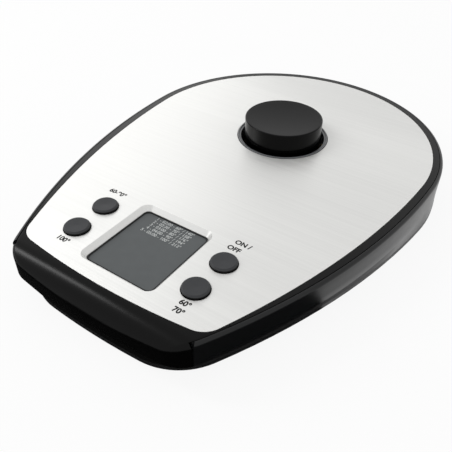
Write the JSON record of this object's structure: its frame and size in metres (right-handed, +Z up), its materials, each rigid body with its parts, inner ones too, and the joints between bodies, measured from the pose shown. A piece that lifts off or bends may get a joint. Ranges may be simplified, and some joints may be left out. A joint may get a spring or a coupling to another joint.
{
  "type": "electric kettle power base",
  "caption": "Slim power base for a cordless electric kettle: brushed steel top in a black housing, display window, push buttons and a round connector tower.",
  "frame": {"origin": "on the table under the middle of the base, half way along and across its outline", "axes": "+Z up out of the connector tower, -Y towards the buttons at the front, +X to the right seen from the front"},
  "size_m": [0.156, 0.216, 0.0316],
  "materials": {
    "black_gloss": "polished",
    "black_housing": "satin",
    "black_rubber": "matte",
    "brushed_plate": "brushed",
    "button_plastic": "satin",
    "can_metal": "satin",
    "circuit_board": "satin",
    "component_case": "satin",
    "connector_black": "polished",
    "contact_metal": "bright",
    "display_cell": "smooth",
    "display_glass": "polished",
    "light_guide": "satin",
    "screw_steel": "plated",
    "silicone": "matte"
  },
  "bodies": {
    "base": {"buzzer": "component_case", "can_capacitor": "can_metal", "chassis": "black_gloss", "connector_collar": "connector_black", "connector_screws": "screw_steel", "connector_tower": "connector_black", "contact_earth": "contact_metal", "contact_live": "contact_metal", "contact_neutral": "contact_metal", "control_board": "circuit_board", "control_board_screws": "screw_steel", "cord_gland": "black_rubber", "display_gasket": "black_rubber", "display_lens": "display_glass", "display_light": "light_guide", "display_panel": "display_cell", "dome_front_left": "silicone", "dome_front_right": "silicone", "dome_rear_left": "silicone", "dome_rear_right": "silicone", "film_capacitor": "component_case", "foot_front_left": "black_rubber", "foot_front_right": "black_rubber", "foot_rear_left": "black_rubber", "foot_rear_right": "black_rubber", "front_nose": "black_gloss", "housing_screws": "screw_steel", "lower_housing": "black_housing", "power_board": "circuit_board", "power_board_screws": "screw_steel", "relay": "component_case", "side_band": "black_gloss", "terminal_block": "component_case", "top_plate": "brushed_plate", "transformer": "component_case"},
    "button_rear_left": {"button_rear_left": "button_plastic"},
    "button_rear_right": {"button_rear_right": "button_plastic"},
    "button_front_left": {"button_front_left": "button_plastic"},
    "button_front_right": {"button_front_right": "button_plastic"}
  },
  "joints": [
    {"name": "press_rear_left", "type": "slide", "parent": "base", "child": "button_rear_left", "axis": [0, 0, -1], "range_m": [0, 0.001], "stiffness_N_per_m": 400, "springref_m": -0.0005, "deforming": ["dome_rear_left"]},
    {"name": "press_rear_right", "type": "slide", "parent": "base", "child": "button_rear_right", "axis": [0, 0, -1], "range_m": [0, 0.001], "stiffness_N_per_m": 400, "springref_m": -0.0005, "deforming": ["dome_rear_right"]},
    {"name": "press_front_left", "type": "slide", "parent": "base", "child": "button_front_left", "axis": [0, 0, -1], "range_m": [0, 0.001], "stiffness_N_per_m": 400, "springref_m": -0.0005, "deforming": ["dome_front_left"]},
    {"name": "press_front_right", "type": "slide", "parent": "base", "child": "button_front_right", "axis": [0, 0, -1], "range_m": [0, 0.001], "stiffness_N_per_m": 400, "springref_m": -0.0005, "deforming": ["dome_front_right"]}
  ]
}
